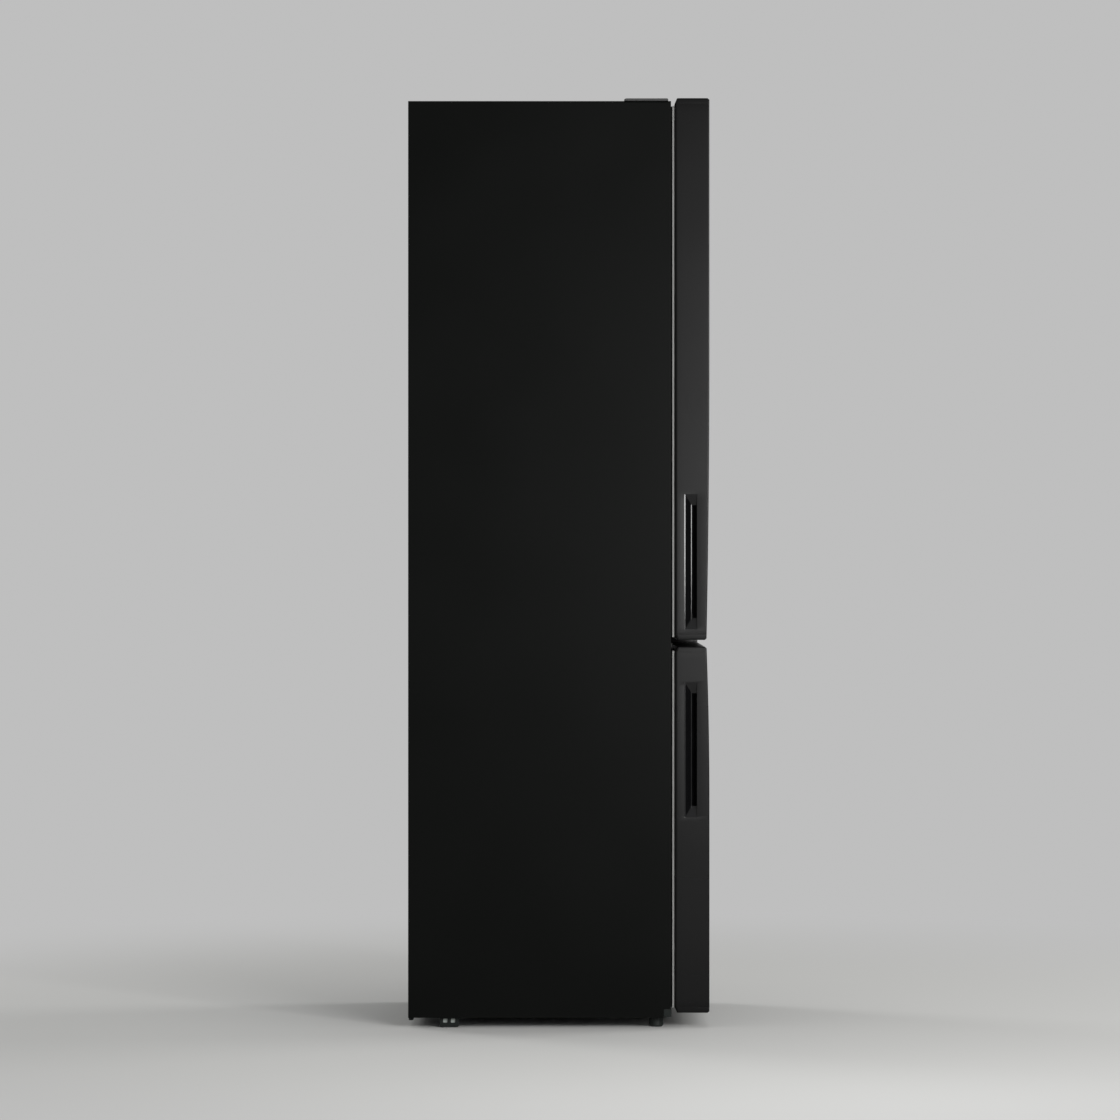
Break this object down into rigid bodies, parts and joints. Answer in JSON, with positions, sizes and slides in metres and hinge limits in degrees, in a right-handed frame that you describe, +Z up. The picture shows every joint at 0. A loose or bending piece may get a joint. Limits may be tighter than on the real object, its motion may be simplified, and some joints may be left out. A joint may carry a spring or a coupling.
{
  "type": "fridge freezer",
  "caption": "Tall free-standing black fridge freezer, fridge above freezer, with hinged doors, recessed side grips, glass shelves, door bins, sliding drawers and levelling feet.",
  "frame": {"origin": "centre of the whole object's box, on the floor under the feet and rollers", "axes": "+Z up, -Y towards the person who opens the doors, +X towards the hinges"},
  "size_m": [0.595, 0.658, 2.03],
  "materials": {
    "cabinet_paint": "satin",
    "door_paint": "satin",
    "rail_paint": "satin",
    "black_plastic": "matte",
    "cap_plastic": "satin",
    "grip_gloss": "gloss",
    "liner_white": "satin",
    "trim_plastic": "satin",
    "clear_plastic": "gloss",
    "shelf_glass": "gloss",
    "lamp_lens": "satin",
    "foam": "matte",
    "gasket_grey": "matte",
    "galvanised": "satin",
    "hinge_steel": "satin",
    "hinge_black": "satin",
    "screw_steel": "satin",
    "aluminium_fin": "satin",
    "copper": "satin",
    "compressor_paint": "gloss",
    "black_rubber": "matte",
    "fan_plastic": "satin",
    "tray_plastic": "matte",
    "bush_nylon": "satin",
    "foot_plastic": "matte",
    "roller_plastic": "matte"
  },
  "bodies": {
    "cabinet": {"cabinet_wrapper": "cabinet_paint", "rear_panel": "galvanised", "bottom_sheet": "galvanised", "base_pan": "galvanised", "cabinet_foam": "foam", "fridge_liner": "liner_white", "freezer_liner": "liner_white", "mullion_rail": "cabinet_paint", "base_front_rail": "rail_paint", "top_cover": "black_plastic", "top_hinge": "hinge_steel", "middle_hinge": "hinge_black", "bottom_hinge": "hinge_black", "fixing_screws": "screw_steel", "shelf_glass": "shelf_glass", "shelf_trims": "trim_plastic", "crisper_cover": "shelf_glass", "fridge_air_duct": "liner_white", "fridge_lamp": "lamp_lens", "control_panel": "trim_plastic", "freezer_rear_cover": "liner_white", "evaporator": "aluminium_fin", "evaporator_fan_motor": "black_plastic", "compressor": "compressor_paint", "compressor_mounts": "black_rubber", "condenser": "compressor_paint", "condenser_fan_motor": "black_plastic", "drain_tray": "tray_plastic", "compressor_cover": "rail_paint", "power_inlet": "black_rubber", "refrigerant_tubes": "copper", "foot_sockets": "galvanised", "roller_brackets": "rail_paint"},
    "fridge_door": {"fridge_door_skin": "door_paint", "fridge_door_foam": "foam", "fridge_door_liner": "liner_white", "fridge_door_caps": "cap_plastic", "fridge_door_gasket": "gasket_grey", "fridge_door_grip": "grip_gloss", "fridge_door_bushes": "bush_nylon"},
    "freezer_door": {"freezer_door_skin": "door_paint", "freezer_door_foam": "foam", "freezer_door_liner": "liner_white", "freezer_door_caps": "cap_plastic", "freezer_door_gasket": "gasket_grey", "freezer_door_grip": "grip_gloss", "freezer_door_bushes": "bush_nylon"},
    "door_bin_upper": {"door_bin_upper": "clear_plastic"},
    "door_bin_middle": {"door_bin_middle": "clear_plastic"},
    "door_bin_lower": {"door_bin_lower": "clear_plastic"},
    "crisper_drawer": {"crisper_drawer": "clear_plastic"},
    "freezer_drawer_upper": {"freezer_drawer_upper": "clear_plastic"},
    "freezer_drawer_middle": {"freezer_drawer_middle": "clear_plastic"},
    "freezer_drawer_lower": {"freezer_drawer_lower": "clear_plastic"},
    "front_foot_left": {"front_foot_left": "foot_plastic"},
    "front_foot_right": {"front_foot_right": "foot_plastic"},
    "rear_roller_left": {"rear_roller_left": "roller_plastic"},
    "rear_roller_right": {"rear_roller_right": "roller_plastic"},
    "condenser_fan": {"condenser_fan": "fan_plastic"},
    "evaporator_fan": {"evaporator_fan": "fan_plastic"}
  },
  "joints": [
    {"name": "fridge_door_hinge", "type": "hinge", "parent": "cabinet", "child": "fridge_door", "pos_m": [0.2755, -0.291, 1.4], "axis": [0, 0, 1], "range_deg": [0, 120]},
    {"name": "freezer_door_hinge", "type": "hinge", "parent": "cabinet", "child": "freezer_door", "pos_m": [0.2755, -0.291, 0.4], "axis": [0, 0, 1], "range_deg": [0, 120]},
    {"name": "door_bin_upper_lift", "type": "slide", "parent": "fridge_door", "child": "door_bin_upper", "axis": [0, 0, 1], "range_m": [0, 0.035]},
    {"name": "door_bin_middle_lift", "type": "slide", "parent": "fridge_door", "child": "door_bin_middle", "axis": [0, 0, 1], "range_m": [0, 0.035]},
    {"name": "door_bin_lower_lift", "type": "slide", "parent": "fridge_door", "child": "door_bin_lower", "axis": [0, 0, 1], "range_m": [0, 0.035]},
    {"name": "crisper_slide", "type": "slide", "parent": "cabinet", "child": "crisper_drawer", "axis": [0, -1, 0], "range_m": [0, 0.21]},
    {"name": "freezer_drawer_upper_slide", "type": "slide", "parent": "cabinet", "child": "freezer_drawer_upper", "axis": [0, -1, 0], "range_m": [0, 0.18]},
    {"name": "freezer_drawer_middle_slide", "type": "slide", "parent": "cabinet", "child": "freezer_drawer_middle", "axis": [0, -1, 0], "range_m": [0, 0.18]},
    {"name": "freezer_drawer_lower_slide", "type": "slide", "parent": "cabinet", "child": "freezer_drawer_lower", "axis": [0, -1, 0], "range_m": [0, 0.18]},
    {"name": "front_foot_left_turn", "type": "hinge", "parent": "cabinet", "child": "front_foot_left", "pos_m": [-0.2555, -0.2135, 0.01], "axis": [0, 0, 1], "continuous": true},
    {"name": "front_foot_right_turn", "type": "hinge", "parent": "cabinet", "child": "front_foot_right", "pos_m": [0.2555, -0.2135, 0.01], "axis": [0, 0, 1], "continuous": true},
    {"name": "rear_roller_left_roll", "type": "hinge", "parent": "cabinet", "child": "rear_roller_left", "pos_m": [-0.2735, 0.2395, 0.015], "axis": [1, 0, 0], "continuous": true},
    {"name": "rear_roller_right_roll", "type": "hinge", "parent": "cabinet", "child": "rear_roller_right", "pos_m": [0.2735, 0.2395, 0.015], "axis": [1, 0, 0], "continuous": true},
    {"name": "condenser_fan_spin", "type": "hinge", "parent": "cabinet", "child": "condenser_fan", "pos_m": [-0.018, 0.218, 0.1068], "axis": [1, 0, 0], "continuous": true},
    {"name": "evaporator_fan_spin", "type": "hinge", "parent": "cabinet", "child": "evaporator_fan", "pos_m": [0, 0.216, 0.7095], "axis": [0, 1, 0], "continuous": true}
  ],
  "couplings": [
    {"joint": "crisper_slide", "follows": "fridge_door_hinge", "m_per_rad": 0.1},
    {"joint": "freezer_drawer_upper_slide", "follows": "freezer_door_hinge", "m_per_rad": 0.085},
    {"joint": "freezer_drawer_middle_slide", "follows": "freezer_door_hinge", "m_per_rad": 0.085},
    {"joint": "freezer_drawer_lower_slide", "follows": "freezer_door_hinge", "m_per_rad": 0.085}
  ]
}
